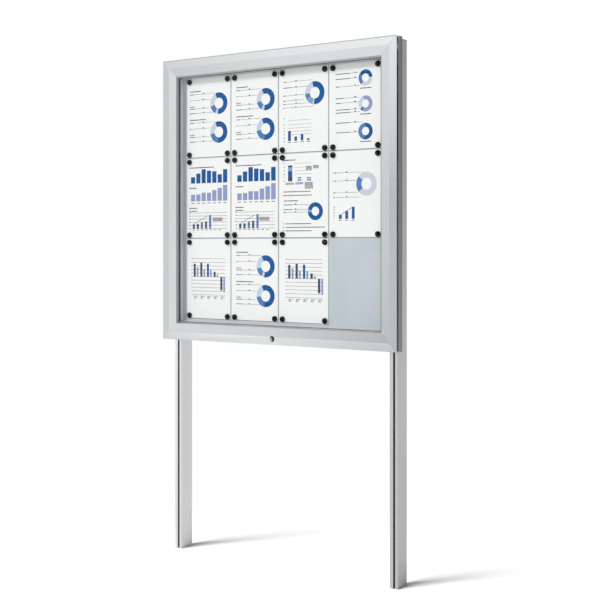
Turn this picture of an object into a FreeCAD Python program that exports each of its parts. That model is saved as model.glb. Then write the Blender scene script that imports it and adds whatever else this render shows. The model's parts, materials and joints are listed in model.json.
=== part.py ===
import FreeCAD, Part
import math
import os
import re
import Sketcher
from FreeCAD import Placement, Rotation, Vector

# Outdoor lockable notice board: a shallow aluminium case with a top-hinged glazed door,
# carried on two slotted aluminium posts. Lengths are millimetres, +Z is up, the front
# faces -Y, and the origin lies on the ground midway between the posts.
#
# Words used for the board's own directions:
#   inset  distance from the outer edge of the board towards its middle
#   depth  distance forward from the back face of the case
SIZES = {
    # the sheets on show, and the margin of bare panel around their field
    "sheet_width": 210, "sheet_height": 297, "sheet_gap": 3, "paper": 0.2,
    "sheets_right": 2.4, "sheets_up": 4.2, "field_side": 12, "field_top": 5.5,
    "leg_height": 795,
    # posts: plain rectangular extrusion with one T-slot in the front face
    "post_width": 30, "post_depth": 65, "post_wall": 2.2, "post_corner": 1.5, "post_inset": 22,
    "slot_mouth": 8, "slot_width": 16, "slot_depth": 7, "slot_offset": 2.5,
    "cap_height": 3, "cap_plug": 10, "cap_play": 0.2,
    # case section
    "case_wall": 2, "case_side": 28, "back_chamfer": 6.5, "rib_inset": 40, "rib_depth": 26,
    "chamber_inset": 50, "chamber_depth": 20, "case_inner": 68.5,
    # display panel in the rebate at the back of the case
    "panel_inset": 56, "panel_depth": 3, "panel_play": 0.3,
    "rivet_inset": 61, "rivet_pitch": 210, "rivet_head": 8, "rivet_rise": 1.2,
    "rivet_shank": 3.2, "rivet_play": 0.1, "rivet_reach": 6,
    # door section
    "door_front": 44, "door_fall": 4.5, "crease_inset": 28.5, "face_width": 60.5,
    "door_wall": 1.8, "door_inset": 9.5, "door_back": 31.5, "bevel_run": 6,
    "leg_inset": 52, "leg_depth": 21,
    # glazing
    "glass_inset": 56, "glass_depth": 26, "glass_thickness": 4,
    "gasket_web": 2, "gasket_lip": 2, "gasket_inner": 67.5,
    "bead_thickness": 2.5, "bead_inset": 62, "bead_play": 0.2,
    # seal between the case's rib and the back of the door
    "seal_width": 4, "seal_play": 0.3,
    # corner cleats
    "cleat_play": 0.2, "case_cleat_leg": 120, "door_cleat_leg": 110,
    "door_cleat_width": 14, "door_cleat_height": 5,
    # hinge along the top
    "hinge_inset": 5.5, "hinge_depth": 33.5, "knuckle_radius": 3.5, "pin_radius": 1.5,
    "pin_play": 0.05, "leaf_thickness": 1.5, "knuckle_pitch": 180, "knuckle_gap": 0.6,
    "case_leaf_depth": 12, "case_leaf_top": 28.5, "door_leaf_start": 10.5, "door_leaf_end": 28,
    "screw_head": 7, "screw_rise": 1.5, "screw_shank": 3.8, "screw_play": 0.1,
    "case_screw_depth": 20, "door_screw_inset": 20, "screw_pitch": 200, "screw_short": 0.3,
    # bolts that hold the case to the posts
    "bolt_inset": 25, "bolt_shank": 6, "bolt_play": 0.3, "bolt_head": 12, "bolt_head_rise": 3.5,
    "nut_play": 0.2, "nut_thickness": 5, "nut_length": 22, "thread_play": 0.05,
    # gas struts in the side channels
    "strut_inset": 22, "strut_depth": 15, "strut_case_drop": 400, "strut_door_drop": 100,
    "eye_radius": 7.5, "eye_width": 8.6, "stud_radius": 4, "stud_play": 0.05, "side_play": 0.3,
    "stud_gap": 0.4, "collar_radius": 6, "stud_head": 1.7,
    "tube_radius": 9, "tube_start": 20, "tube_length": 200, "tube_floor": 4,
    "rod_radius": 4, "rod_play": 0.05, "rod_foot": 92,
    "plate_thickness": 2, "plate_length": 44, "plate_width": 14, "plate_rivet_pitch": 30,
    "door_plate_inset": 11, "door_plate_end": 26, "foot_start": 12, "foot_end": 40,
    # cam lock in the bottom member
    "lock_inset": 21, "barrel_radius": 9.4, "barrel_play": 0.2, "barrel_back": 25.4,
    "flange_radius": 10.5, "flange_rise": 1.5, "flange_chamfer": 0.6,
    "plug_radius": 6.5, "plug_play": 0.05, "plug_back": 25, "plug_recess": 0.3,
    "key_length": 8.5, "key_width": 1.8, "key_depth": 6,
    "nut_radius": 12, "lock_nut_depth": 3.5,
    "cam_length": 15.5, "cam_radius": 6, "cam_thickness": 2.5,
    "cam_screw_head": 4, "cam_screw_rise": 2.5, "cam_screw_shank": 2, "cam_screw_length": 8,
    "keeper_half": 14, "keeper_thickness": 1.5, "keeper_reach": 10.5, "keeper_depth": 10,
    "keeper_front": 27, "keeper_screw_depth": 15, "keeper_screw_offset": 9,
    # magnets, four to a sheet
    "magnet_radius": 10, "magnet_height": 7, "magnet_side": 15.2, "magnet_top": 12,
}
SHEETS_PER_ROW = (4, 4, 3)
COLUMNS = max(SHEETS_PER_ROW)
ROWS = len(SHEETS_PER_ROW)
KNUCKLES = 5
RIVETS_PER_SIDE = 4
HINGE_SCREWS = 4
MAGNET_FLAT_COUNT = 12
HEAD_FLAT_COUNT = 8
SHANK_FLAT_COUNT = 8

# The board is as large as its field of sheets needs.
BOARD = {
    "board_width": f"{COLUMNS} * (sheet_width + sheet_gap) - sheet_gap + 2 * (field_side + case_inner)",
    "board_height": f"{ROWS} * (sheet_height + sheet_gap) - sheet_gap + 2 * (field_top + case_inner)",
}

doc = FreeCAD.newDocument("lockable_notice_board")
dims = doc.addObject("Spreadsheet::Sheet", "Dims")
for row, alias in enumerate([*SIZES, *BOARD], 1):
    dims.set(f"A{row}", alias)
    dims.setAlias(f"B{row}", alias)
    dims.set(f"B{row}", f"={BOARD[alias]}" if alias in BOARD else str(SIZES[alias]))
doc.recompute()
parts = []


# Expressions are written with the plain names of the sizes.
def bound(text):
    return re.sub(r"[a-z][a-z_]+", lambda word: "Dims." + word.group(), str(text))


def value(text):
    return float(dims.evalExpression(bound(text)))


BACK = "(-post_depth / 2)"
MIDDLE = "(leg_height + board_height / 2)"
TOP = "(leg_height + board_height)"
ACROSS = Rotation(Vector(1, 0, 0), Vector(0, 0, 1), Vector(0, -1, 0), "XYZ")
SIDEWAYS = Rotation(Vector(0, 0, 1), Vector(0, -1, 0), Vector(1, 0, 0), "XYZ")
UPRIGHT = Rotation()


def keep(item, label):
    item.Label = label
    parts.append(item)
    return item


def place(item, x, y, z, rotation):
    item.Placement = Placement(Vector(value(x), value(y), value(z)), rotation)
    for axis, text in zip("xyz", (x, y, z)):
        item.setExpression(f".Placement.Base.{axis}", bound(text))


# A body on the board: its X runs right, its Y up from the middle and its Z forward.
def on_board(item):
    place(item, 0, BACK, MIDDLE, ACROSS)


# A body at the left side of the board: X up, Y forward, Z inwards from the outer edge.
def at_left_side(item, drop):
    place(item, "-board_width / 2", BACK, f"{TOP} - hinge_inset - {drop}", SIDEWAYS)


def new_body(name):
    return doc.addObject("PartDesign::Body", name)


def origin_plane(body, role):
    return next(item for item in body.Origin.OriginFeatures if item.Role == role)


def new_sketch(body, role="XY_Plane", lift="0"):
    sketch = body.newObject("Sketcher::SketchObject", "Sketch")
    sketch.AttachmentSupport = [(origin_plane(body, role), "")]
    sketch.MapMode = "FlatFace"
    sketch.setExpression(".AttachmentOffset.Base.z", bound(lift))
    return sketch


# Sets a sketch's sizes in one go. Points are (geometry, point, x, y), and other rules come
# with the text of their size, or with none.
def fix(sketch, points, others):
    rules = list(others)
    for geometry, point, x, y in points:
        for kind, text in (("DistanceX", x), ("DistanceY", y)):
            rules.append((Sketcher.Constraint(kind, -1, 1, geometry, point, value(text)), text))
    numbers = sketch.addConstraint([rule for rule, _ in rules])
    for number, (_, text) in zip(numbers, rules):
        if text:
            sketch.setExpression(f"Constraints[{number}]", bound(text))


def polygon(sketch, corners):
    first = sketch.GeometryCount
    points = [Vector(value(x), value(y), 0) for x, y in corners]
    count = len(points)
    sketch.addGeometry([Part.LineSegment(points[i], points[(i + 1) % count]) for i in range(count)])
    joins = [(Sketcher.Constraint("Coincident", first + i, 2, first + (i + 1) % count, 1), "")
             for i in range(count)]
    fix(sketch, [(first + i, 1, x, y) for i, (x, y) in enumerate(corners)], joins)


def rectangle(sketch, left, low, right, high):
    polygon(sketch, [(left, low), (right, low), (right, high), (left, high)])


def circle(sketch, x, y, radius):
    centre = Vector(value(x), value(y), 0)
    number = sketch.addGeometry(Part.Circle(centre, Vector(0, 0, 1), value(radius)))
    size = Sketcher.Constraint("Radius", number, value(radius))
    fix(sketch, [(number, 3, x, y)], [(size, radius)])


# Small fasteners repeat, so their heads, shanks and holes have flats in place of circles.
def flats(sketch, x, y, radius, sides=SHANK_FLAT_COUNT):
    corners = []
    for i in range(sides):
        angle = math.tau * (i + 0.5) / sides
        corners.append((f"{x} + ({radius}) * {math.cos(angle):.6f}",
                        f"{y} + ({radius}) * {math.sin(angle):.6f}"))
    polygon(sketch, corners)


def pad(body, sketch, length, both_ways=False, back=False):
    feature = body.newObject("PartDesign::Pad", "Pad")
    feature.Profile = sketch
    feature.setExpression("Length", bound(length))
    feature.SideType = "Symmetric" if both_ways else "One side"
    feature.Reversed = back
    return feature


def pocket(body, sketch, length, back=False):
    feature = body.newObject("PartDesign::Pocket", "Pocket")
    feature.Profile = sketch
    feature.setExpression("Length", bound(length))
    feature.Reversed = back
    return feature


def pocket_through(body, sketch):
    feature = body.newObject("PartDesign::Pocket", "Pocket")
    feature.Profile = sketch
    feature.Type = "ThroughAll"
    feature.SideType = "Symmetric"
    return feature


def mirror(body, features, *roles):
    multi = body.newObject("PartDesign::MultiTransform", "Mirrors")
    steps = []
    for role in roles:
        step = body.newObject("PartDesign::Mirrored", "Mirror")
        step.MirrorPlane = (origin_plane(body, role), [""])
        steps.append(step)
    multi.Originals = features
    multi.Transformations = steps
    body.Tip = multi
    return multi


def mirrored_copy(source, label):
    copy = doc.addObject("Part::Mirroring", label)
    copy.Source = source
    copy.Normal = Vector(1, 0, 0)
    return keep(copy, label)


# Four frame members share one way of working: the section is drawn in inset and depth,
# padded both ways along the member, and its ends are cut to the 45 degree mitres.
MEMBERS = {
    "top": (Vector(0, 0, -1), "board_width", ("0", TOP)),
    "bottom": (Vector(0, 0, 1), "board_width", ("0", "leg_height")),
    "left": (Vector(1, 0, 0), "board_height", ("-board_width / 2", MIDDLE)),
    "right": (Vector(-1, 0, 0), "board_height", ("board_width / 2", MIDDLE)),
}


def member(label, side, outer, hollows, width):
    inward, length, (x, z) = MEMBERS[side]
    forward = Vector(0, -1, 0)
    body = new_body(label)
    section = new_sketch(body)
    for outline in [outer] + hollows:
        polygon(section, outline)
    pad(body, section, length, both_ways=True)
    ends = new_sketch(body, "XZ_Plane")
    half = f"{length} / 2"
    corner = (width, f"{half} - ({width})")
    polygon(ends, [("0", half), corner, (width, half)])
    polygon(ends, [("0", f"-{half}"), (corner[0], f"-({corner[1]})"), (width, f"-{half}")])
    pocket_through(body, ends)
    place(body, x, BACK, z, Rotation(inward, forward, inward.cross(forward), "XYZ"))
    return body


# Holes through a member's wall, drilled from the given depth forward.
def drill(body, holes, radius, start, length, outline=flats):
    sketch = new_sketch(body, "XZ_Plane", f"-({start})")
    for inset, along in holes:
        outline(sketch, inset, along, radius)
    pocket(body, sketch, length)


# Holes through a member's outer wall, drilled from outside inwards.
def drill_side(body, holes, radius, length):
    sketch = new_sketch(body, "YZ_Plane")
    for depth, along in holes:
        flats(sketch, depth, along, radius)
    pocket(body, sketch, length, back=True)


# A place on a member, given by inset and distance along it, as a place on the board.
def board_place(side, inset, along):
    if side == "top":
        return f"-({along})", f"board_height / 2 - ({inset})"
    if side == "bottom":
        return along, f"-board_height / 2 + ({inset})"
    if side == "left":
        return f"-board_width / 2 + ({inset})", f"-({along})"
    return f"board_width / 2 - ({inset})", along


# Rivets or bolts standing on the board at several places, each a head and a shank.
def fasteners(label, places, head, shank, four_quarters=False):
    body = new_body(label)
    pads = []
    for (radius, start, length), sides in ((head, HEAD_FLAT_COUNT), (shank, SHANK_FLAT_COUNT)):
        sketch = new_sketch(body, lift=start)
        for x, y in places:
            flats(sketch, x, y, radius, sides)
        pads.append(pad(body, sketch, length))
    if four_quarters:
        mirror(body, pads, "YZ_Plane", "XZ_Plane")
    on_board(body)
    return keep(body, label)


def spread(count, pitch):
    return [f"({i - (count - 1) / 2} * {pitch})" for i in range(count)]


POST_MIDDLE = "(board_width / 2 - post_inset - post_width / 2)"
RIVET_PLACES = [("rivet_inset", along) for along in spread(RIVETS_PER_SIDE, "rivet_pitch")]
HINGE_PLACES = spread(HINGE_SCREWS, "screw_pitch")


# The case is bolted to the slot of each post, near its top and near its bottom.
def bolt_places(side):
    sign = "-" if side == "top" else ""
    return [("bolt_inset", f"{sign}({post} + slot_offset)") for post in (f"-{POST_MIDDLE}", POST_MIDDLE)]


# Posts

def post(label, x):
    body = new_body(label)
    section = new_sketch(body)
    front = "-post_depth / 2"
    lip = f"{front} + post_wall"
    floor = f"{lip} + slot_depth"
    side = "post_width / 2"
    slot = "slot_offset"
    polygon(section, [
        (f"-{side}", front), (f"{slot} - slot_mouth / 2", front),
        (f"{slot} - slot_mouth / 2", lip), (f"{slot} - slot_width / 2", lip),
        (f"{slot} - slot_width / 2", floor), (f"{slot} + slot_width / 2", floor),
        (f"{slot} + slot_width / 2", lip), (f"{slot} + slot_mouth / 2", lip),
        (f"{slot} + slot_mouth / 2", front), (side, front),
        (side, "post_depth / 2"), (f"-{side}", "post_depth / 2")])
    rectangle(section, f"-{side} + post_wall", f"{floor} + post_wall",
              f"{side} - post_wall", "post_depth / 2 - post_wall")
    bar = pad(body, section, f"{TOP} - cap_height")
    place(body, x, "0", "0", UPRIGHT)
    doc.recompute()
    rounded = body.newObject("PartDesign::Fillet", "Corners")
    rounded.Base = (bar, outer_corners(bar.Shape))
    rounded.setExpression("Radius", bound("post_corner"))
    return keep(body, label)


def outer_corners(shape):
    names = []
    for number, edge in enumerate(shape.Edges, 1):
        ends = [vertex.Point for vertex in edge.Vertexes]
        upright = abs(ends[0].x - ends[1].x) + abs(ends[0].y - ends[1].y) < 1e-6
        at_side = abs(abs(ends[0].x) - value("post_width / 2")) < 1e-6
        if upright and at_side:
            names.append(f"Edge{number}")
    return names


def post_cap(label, x):
    body = new_body(label)
    plate = new_sketch(body, lift=f"{TOP} - cap_height")
    rectangle(plate, "-post_width / 2", "-post_depth / 2", "post_width / 2", "post_depth / 2")
    pad(body, plate, "cap_height")
    plug = new_sketch(body, lift=f"{TOP} - cap_height - cap_plug")
    wall = "post_wall + cap_play"
    rectangle(plug, f"-post_width / 2 + {wall}", f"-post_depth / 2 + slot_depth + post_wall + {wall}",
              f"post_width / 2 - ({wall})", f"post_depth / 2 - ({wall})")
    pad(body, plug, "cap_plug")
    place(body, x, "0", "0", UPRIGHT)
    return keep(body, label)


# Case

def case_member(side):
    wall = "case_wall"
    step = f"panel_inset - {wall}"
    slant = f"back_chamfer + {math.sqrt(2) - 1:.5f} * {wall}"
    outer = [
        ("back_chamfer", "0"), ("panel_inset", "0"), ("panel_inset", "panel_depth"),
        ("case_inner", "panel_depth"), ("case_inner", "chamber_depth"),
        ("chamber_inset", "chamber_depth"), ("chamber_inset", wall),
        (f"rib_inset + {wall}", wall), (f"rib_inset + {wall}", "rib_depth"),
        ("rib_inset", "rib_depth"), ("rib_inset", wall), (slant, wall),
        (wall, slant), (wall, "case_side"), ("0", "case_side"), ("0", "back_chamfer")]
    hollow = [
        (f"chamber_inset + {wall}", wall), (step, wall), (step, f"panel_depth + {wall}"),
        (f"case_inner - {wall}", f"panel_depth + {wall}"),
        (f"case_inner - {wall}", f"chamber_depth - {wall}"),
        (f"chamber_inset + {wall}", f"chamber_depth - {wall}")]
    ending = {"top": "rail", "bottom": "rail", "left": "stile", "right": "stile"}[side]
    label = f"case_{side}_{ending}"
    body = member(label, side, outer, [hollow], "case_inner")
    drill(body, RIVET_PLACES, "rivet_shank / 2 + rivet_play", "0", f"panel_depth + 2 * {wall}")
    if side in ("top", "bottom"):
        drill(body, bolt_places(side), "bolt_shank / 2 + bolt_play", "0", f"2 * {wall}")
    if side == "top":
        holes = [("case_screw_depth", along) for along in HINGE_PLACES]
        drill_side(body, holes, "screw_shank / 2 + screw_play", f"2 * {wall}")
    if side == "bottom":
        holes = [("keeper_screw_depth", f"{sign}keeper_screw_offset") for sign in ("-", "")]
        drill_side(body, holes, "screw_shank / 2 + screw_play", f"2 * {wall}")
    if side in ("left", "right"):
        drill_side(body, bracket_holes(side), "screw_shank / 2 + screw_play", f"2 * {wall}")
    return keep(body, label)


# The strut's lower bracket, as holes in a stile whose length runs down on the left
# and up on the right.
def bracket_holes(side):
    sign = "" if side == "left" else "-"
    level = "(hinge_inset + strut_case_drop - board_height / 2)"
    return [("strut_depth", f"{sign}({level} {way} plate_rivet_pitch / 2)") for way in "+-"]


def case_cleats():
    body = new_body("case_corner_cleats")
    low = "panel_inset - case_wall + cleat_play"
    high = "case_inner - case_wall - cleat_play"
    start = "panel_depth + case_wall"
    cleat_corner(body, low, high, "case_cleat_leg", start,
                 f"chamber_depth - case_wall - cleat_play - ({start})")
    return keep(body, "case_corner_cleats")


# An L-shaped cleat in each mitred corner, with one leg inside each member.
def cleat_corner(body, near, far, leg, start, height):
    x = "-board_width / 2"
    y = "board_height / 2"
    sketch = new_sketch(body, lift=start)
    polygon(sketch, [
        (f"{x} + {near}", f"{y} - ({near})"), (f"{x} + {leg}", f"{y} - ({near})"),
        (f"{x} + {leg}", f"{y} - ({far})"), (f"{x} + {far}", f"{y} - ({far})"),
        (f"{x} + {far}", f"{y} - {leg}"), (f"{x} + {near}", f"{y} - {leg}")])
    block = pad(body, sketch, height)
    mirror(body, [block], "YZ_Plane", "XZ_Plane")
    on_board(body)


def display_panel():
    body = new_body("display_panel")
    edge = "(panel_inset + panel_play)"
    sheet = new_sketch(body)
    rectangle(sheet, f"-board_width / 2 + {edge}", f"-board_height / 2 + {edge}",
              f"board_width / 2 - {edge}", f"board_height / 2 - {edge}")
    pad(body, sheet, "panel_depth")
    holes = new_sketch(body)
    for x, y in quarter_of_rivets():
        flats(holes, x, y, "rivet_shank / 2 + rivet_play")
    mirror(body, [pocket_through(body, holes)], "YZ_Plane", "XZ_Plane")
    on_board(body)
    return keep(body, "display_panel")


# The panel's rivets in the quarter above and right of the middle.
def quarter_of_rivets():
    half = RIVET_PLACES[RIVETS_PER_SIDE // 2:]
    return [board_place("right", *spot) for spot in half] + [
        (along, f"board_height / 2 - {inset}") for inset, along in half]


def panel_rivets():
    return fasteners("panel_rivets", quarter_of_rivets(),
                     ("rivet_head / 2", "-rivet_rise", "rivet_rise"),
                     ("rivet_shank / 2", "0", "rivet_reach"), four_quarters=True)


def post_bolts():
    places = [board_place(side, *spot) for side in ("top", "bottom") for spot in bolt_places(side)]
    reach = "(post_wall + nut_thickness)"
    fasteners("post_bolts", places,
              ("bolt_head / 2", "case_wall", "bolt_head_rise"),
              ("bolt_shank / 2", f"-{reach}", f"{reach} + case_wall"))
    slot_nuts(places)


# T-nuts in the posts' front slots, one behind each bolt.
def slot_nuts(places):
    body = new_body("slot_nuts")
    head = new_sketch(body, lift="-post_wall - nut_thickness")
    neck = new_sketch(body, lift="-post_wall")
    bore = new_sketch(body)
    for x, y in places:
        low = f"{y} - nut_length / 2"
        high = f"{y} + nut_length / 2"
        for sketch, width in ((head, "slot_width"), (neck, "slot_mouth")):
            half = f"({width} / 2 - nut_play)"
            rectangle(sketch, f"{x} - {half}", low, f"{x} + {half}", high)
        flats(bore, x, y, "bolt_shank / 2 + thread_play")
    pad(body, head, "nut_thickness")
    pad(body, neck, "post_wall - nut_play")
    pocket_through(body, bore)
    on_board(body)
    return keep(body, "slot_nuts")


# A closed ring of even width around the board.
def ring(sketch, outer, inner):
    for edge in (outer, inner):
        rectangle(sketch, f"-board_width / 2 + {edge}", f"-board_height / 2 + {edge}",
                  f"board_width / 2 - {edge}", f"board_height / 2 - {edge}")


def weather_seal():
    body = new_body("weather_seal")
    sketch = new_sketch(body, lift="rib_depth")
    middle = "rib_inset + case_wall / 2"
    ring(sketch, f"({middle} - seal_width / 2)", f"({middle} + seal_width / 2)")
    pad(body, sketch, "door_back - seal_play - rib_depth")
    on_board(body)
    return keep(body, "weather_seal")


# Door

# Depth of the door's face past the crease, where it slopes back towards the glass.
def skin(inset):
    slope = "door_fall / (face_width - crease_inset)"
    return f"(door_front - (({inset}) - crease_inset) * {slope})"


def door_member(side):
    wall = "door_wall"
    lip_front = "(door_front - door_fall)"
    lip_back = "(glass_depth + glass_thickness + gasket_lip)"
    bevel = f"{wall} + bevel_run * {wall} / ({lip_front} - {lip_back})"
    web = f"(leg_inset - {wall})"
    outer = [
        ("0", f"door_front - {wall}"), ("door_inset", f"door_front - {wall}"),
        ("door_inset", "door_back"), (web, "door_back"),
        (web, "leg_depth"), ("leg_inset", "leg_depth"),
        ("leg_inset", lip_back), ("face_width + bevel_run", lip_back),
        ("face_width", lip_front), ("crease_inset", "door_front"), ("0", "door_front")]
    tube = f"door_inset + {wall}"
    main = [
        (tube, f"door_back + {wall}"), (web, f"door_back + {wall}"),
        (web, f"{skin(web)} - {wall}"), ("crease_inset", f"door_front - {wall}"),
        (tube, f"door_front - {wall}")]
    nose = [
        ("leg_inset", f"{lip_back} + {wall}"),
        (f"face_width + bevel_run - ({bevel})", f"{lip_back} + {wall}"),
        (f"face_width - {wall}", f"{lip_front} - {wall}"),
        ("leg_inset", f"{skin('leg_inset')} - {wall}")]
    ending = {"top": "rail", "bottom": "rail", "left": "stile", "right": "stile"}[side]
    label = f"door_{side}_{ending}"
    body = member(label, side, outer, [main, nose], "face_width + bevel_run")
    if side == "top":
        holes = [("door_screw_inset", along) for along in HINGE_PLACES]
        drill(body, holes, "screw_shank / 2 + screw_play", "door_back", wall)
    elif side == "bottom":
        drill(body, [("lock_inset", "0")], "barrel_radius + barrel_play", "door_back",
              "door_front", circle)
    else:
        drill(body, door_bracket_holes(side), "screw_shank / 2 + screw_play", "door_back", wall)
    return keep(body, label)


DOOR_RIVET_INSET = "((door_plate_inset + door_plate_end) / 2 + plate_thickness / 2)"


def door_bracket_holes(side):
    sign = "" if side == "left" else "-"
    level = "hinge_inset + strut_door_drop + (foot_start + foot_end) / 2 - board_height / 2"
    return [(DOOR_RIVET_INSET, f"{sign}({level})")]


def door_cleats():
    body = new_body("door_corner_cleats")
    start = "door_back + door_wall"
    near = "door_inset + door_wall + cleat_play"
    cleat_corner(body, near, f"{near} + door_cleat_width", "door_cleat_leg", start,
                 "door_cleat_height")
    return keep(body, "door_corner_cleats")


def glass_pane():
    pane = doc.addObject("Part::Box", "glass_pane")
    pane.setExpression("Length", bound("board_width - 2 * glass_inset"))
    pane.setExpression("Width", bound("board_height - 2 * glass_inset"))
    pane.setExpression("Height", bound("glass_thickness"))
    place(pane, "-board_width / 2 + glass_inset", f"{BACK} - glass_depth",
          "leg_height + glass_inset", ACROSS)
    return keep(pane, "glass_pane")


# A channel of black rubber round the edge of the glass, pressed against the door's lip.
def glazing_gasket():
    body = new_body("glazing_gasket")
    block = new_sketch(body, lift="glass_depth - gasket_lip")
    ring(block, "(glass_inset - gasket_web)", "gasket_inner")
    pad(body, block, "glass_thickness + 2 * gasket_lip")
    groove = new_sketch(body, lift="glass_depth")
    rectangle(groove, "-board_width / 2 + glass_inset", "-board_height / 2 + glass_inset",
              "board_width / 2 - glass_inset", "board_height / 2 - glass_inset")
    pocket(body, groove, "glass_thickness", back=True)
    on_board(body)
    return keep(body, "glazing_gasket")


def glazing_beads():
    body = new_body("glazing_beads")
    sketch = new_sketch(body, lift="glass_depth - gasket_lip - bead_thickness")
    wide = "(board_width / 2 - leg_inset)"
    high = "(board_height / 2 - leg_inset)"
    width = "(bead_inset - leg_inset)"
    end = f"({high} - {width} - bead_play)"
    rectangle(sketch, f"-{wide}", f"{high} - {width}", wide, high)
    rectangle(sketch, f"-{wide}", f"-{high}", wide, f"-{high} + {width}")
    rectangle(sketch, f"-{wide}", f"-{end}", f"-{wide} + {width}", end)
    rectangle(sketch, f"{wide} - {width}", f"-{end}", wide, end)
    pad(body, sketch, "bead_thickness")
    on_board(body)
    return keep(body, "glazing_beads")


# Hinge: two leaves whose knuckles alternate along one pin. The leaves are drawn in
# inset and depth and run along the top of the board.

def hinge_leaf(label, strip, tab, stations, screw_sketch):
    body = new_body(label)
    length = "(knuckle_pitch - knuckle_gap)"
    plate = new_sketch(body)
    rectangle(plate, *strip)
    pad(body, plate, f"{KNUCKLES} * knuckle_pitch", both_ways=True)
    for middle in stations:
        start = f"{middle} - {length} / 2"
        barrel = new_sketch(body, lift=start)
        circle(barrel, "hinge_inset", "hinge_depth", "knuckle_radius")
        pad(body, barrel, length)
        link = new_sketch(body, lift=start)
        rectangle(link, *tab)
        pad(body, link, length)
    bore = new_sketch(body)
    circle(bore, "hinge_inset", "hinge_depth", "pin_radius + pin_play")
    pocket_through(body, bore)
    screw_sketch(body)
    inward, _, (x, z) = MEMBERS["top"]
    forward = Vector(0, -1, 0)
    place(body, x, BACK, z, Rotation(inward, forward, inward.cross(forward), "XYZ"))
    return keep(body, label)


def hinge():
    stations = spread(KNUCKLES, "knuckle_pitch")
    outside = "(hinge_inset - knuckle_radius)"
    behind = "(hinge_depth - knuckle_radius)"

    def case_holes(body):
        sketch = new_sketch(body, "YZ_Plane")
        for along in HINGE_PLACES:
            flats(sketch, "case_screw_depth", along, "screw_shank / 2 + screw_play")
        pocket(body, sketch, f"{outside} + 2 * leaf_thickness", back=True)

    def door_holes(body):
        holes = [("door_screw_inset", along) for along in HINGE_PLACES]
        drill(body, holes, "screw_shank / 2 + screw_play", behind, "leaf_thickness")

    hinge_leaf("hinge_case_leaf",
               (outside, "case_leaf_depth", f"{outside} + leaf_thickness", "case_leaf_top"),
               (outside, "case_leaf_top", f"{outside} + leaf_thickness", "hinge_depth"),
               stations[0::2], case_holes)
    hinge_leaf("hinge_door_leaf",
               ("door_leaf_start", behind, "door_leaf_end", f"{behind} + leaf_thickness"),
               ("hinge_inset", behind, "door_leaf_start", f"{behind} + leaf_thickness"),
               stations[1::2], door_holes)
    pin = doc.addObject("Part::Cylinder", "hinge_pin")
    pin.setExpression("Radius", bound("pin_radius"))
    pin.setExpression("Height", bound(f"{KNUCKLES} * knuckle_pitch"))
    place(pin, f"-{KNUCKLES} * knuckle_pitch / 2", f"{BACK} - hinge_depth",
          f"{TOP} - hinge_inset", Rotation(Vector(0, 1, 0), 90))
    keep(pin, "hinge_pin")
    places = [board_place("top", "door_screw_inset", along) for along in HINGE_PLACES]
    fasteners("hinge_door_rivets", places,
              ("screw_head / 2", f"{behind} - screw_rise", "screw_rise"),
              ("screw_shank / 2", behind, "leaf_thickness + door_wall - screw_short"))
    wall_rivets("hinge_case_rivets", "top",
                [("case_screw_depth", along) for along in HINGE_PLACES],
                f"{outside} + leaf_thickness")


# Rivets that go through a member's outer wall from inside, in depth and distance along.
def wall_rivets(label, side, places, seat):
    inward, _, (x, z) = MEMBERS[side]
    forward = Vector(0, -1, 0)
    body = new_body(label)
    for radius, start, length, sides in (
            ("screw_head / 2", seat, "screw_rise", HEAD_FLAT_COUNT),
            ("screw_shank / 2", "screw_short", f"{seat} - screw_short", SHANK_FLAT_COUNT)):
        sketch = new_sketch(body, "YZ_Plane", start)
        for depth, along in places:
            flats(sketch, depth, along, radius, sides)
        pad(body, sketch, length)
    place(body, x, BACK, z, Rotation(inward, forward, inward.cross(forward), "XYZ"))
    return keep(body, label)


# Gas struts

def strut_case_bracket():
    body = new_body("strut_case_bracket_left")
    plate = new_sketch(body, lift="case_wall")
    rectangle(plate, "-plate_length / 2", "strut_depth - plate_width / 2",
              "plate_length / 2", "strut_depth + plate_width / 2")
    pad(body, plate, "plate_thickness")
    near = "(strut_inset - eye_width / 2 - side_play)"
    far = "(strut_inset + eye_width / 2 + side_play)"
    foot = "(case_wall + plate_thickness)"
    for outline, radius, start, end in (
            (flats, "collar_radius", foot, near), (circle, "stud_radius", near, far),
            (flats, "collar_radius", far, f"({far} + stud_head)")):
        sketch = new_sketch(body, lift=start)
        outline(sketch, "0", "strut_depth", radius)
        pad(body, sketch, f"{end} - {start}")
    holes = new_sketch(body)
    for way in ("", "-"):
        flats(holes, f"{way}plate_rivet_pitch / 2", "strut_depth", "screw_shank / 2 + screw_play")
    pocket(body, holes, foot, back=True)
    at_left_side(body, "strut_case_drop")
    keep(body, "strut_case_bracket_left")
    mirrored_copy(body, "strut_case_bracket_right")
    places = bracket_holes("left")
    wall_rivets("case_bracket_rivets_left", "left", places, foot)
    mirrored_copy(parts[-1], "case_bracket_rivets_right")


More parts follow.
